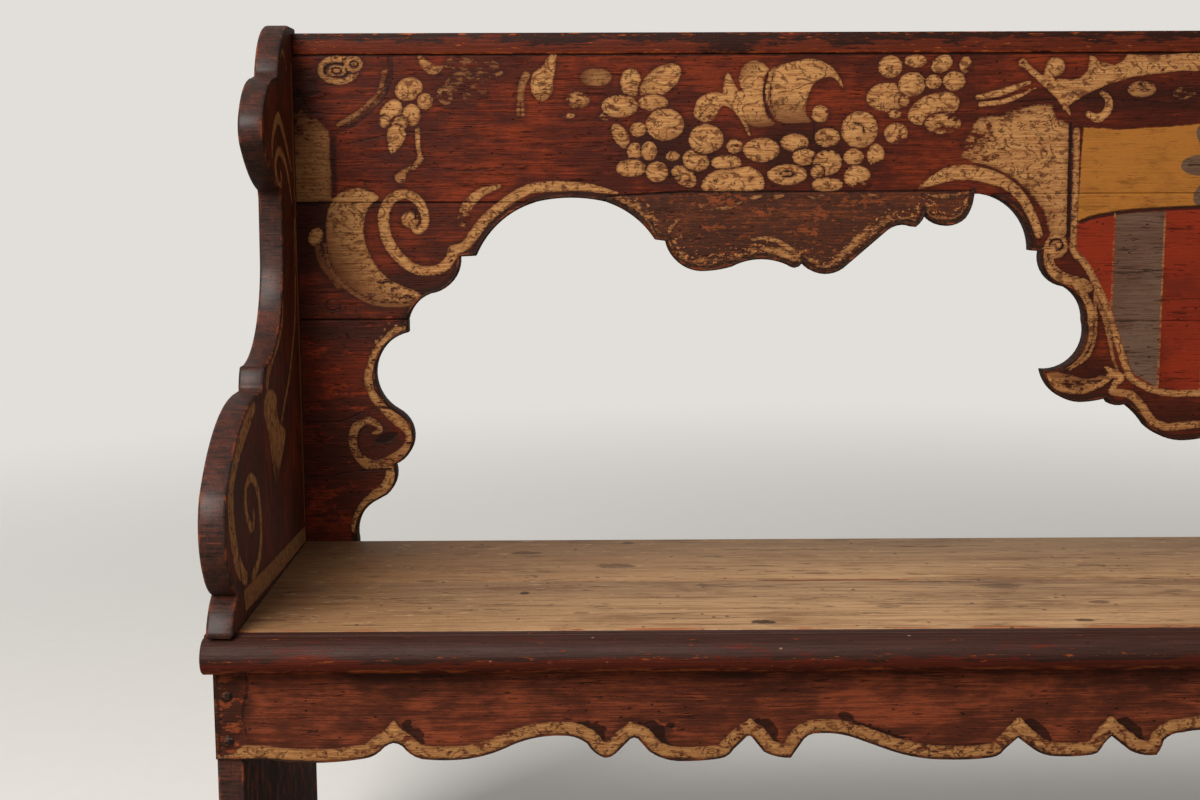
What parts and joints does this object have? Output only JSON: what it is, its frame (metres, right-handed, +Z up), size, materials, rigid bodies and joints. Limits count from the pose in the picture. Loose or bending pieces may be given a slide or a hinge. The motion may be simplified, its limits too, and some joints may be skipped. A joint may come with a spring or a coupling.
{
  "type": "painted bench",
  "caption": "Long plank bench with shaped end boards, a cut-out back with a hanging shield, a moulded seat edge and a scalloped apron.",
  "frame": {"origin": "on the floor, under the middle of the bench's box", "axes": "+Z up, the bench faces -Y, +X to the right of someone who looks at its front"},
  "size_m": [2.448, 0.4855, 1.122],
  "materials": {
    "red_paint": "worn red-brown paint with ochre-gold ornament on softwood",
    "dark_paint": "dark maroon-brown paint, rubbed",
    "bare_wood": "bare softwood, worn smooth",
    "raw_wood": "unpainted sawn softwood",
    "old_iron": "forged, darkened"
  },
  "bodies": {
    "root": {"left_end_board": "red_paint", "left_stile_lower_board": "red_paint", "left_stile_upper_board": "red_paint", "left_pendant_board": "red_paint", "right_end_board": "red_paint", "right_stile_lower_board": "red_paint", "right_stile_upper_board": "red_paint", "right_pendant_board": "red_paint", "back_top_board": "red_paint", "shield_upper_board": "red_paint", "shield_lower_board": "red_paint", "front_apron": "red_paint", "cap_rail": "dark_paint", "seat_nosing": "dark_paint", "seat_rear_board": "bare_wood", "seat_front_board": "bare_wood", "rear_seat_rail": "raw_wood", "left_seat_batten": "raw_wood", "middle_seat_batten": "raw_wood", "right_seat_batten": "raw_wood", "left_stile_dowel_1": "raw_wood", "left_stile_dowel_2": "raw_wood", "left_top_dowel_1": "raw_wood", "left_top_dowel_2": "raw_wood", "left_pendant_dowel_1": "raw_wood", "left_pendant_dowel_2": "raw_wood", "right_stile_dowel_1": "raw_wood", "right_stile_dowel_2": "raw_wood", "right_top_dowel_1": "raw_wood", "right_top_dowel_2": "raw_wood", "right_pendant_dowel_1": "raw_wood", "right_pendant_dowel_2": "raw_wood", "shield_top_dowel_1": "raw_wood", "shield_top_dowel_2": "raw_wood", "shield_top_dowel_3": "raw_wood", "shield_dowel_1": "raw_wood", "shield_dowel_2": "raw_wood", "shield_dowel_3": "raw_wood", "left_apron_nail_upper": "old_iron", "left_apron_nail_lower": "old_iron", "left_tail_nail_upper": "old_iron", "left_tail_nail_lower": "old_iron", "right_apron_nail_upper": "old_iron", "right_apron_nail_lower": "old_iron", "right_tail_nail_upper": "old_iron", "right_tail_nail_lower": "old_iron"}
  },
  "joints": []
}
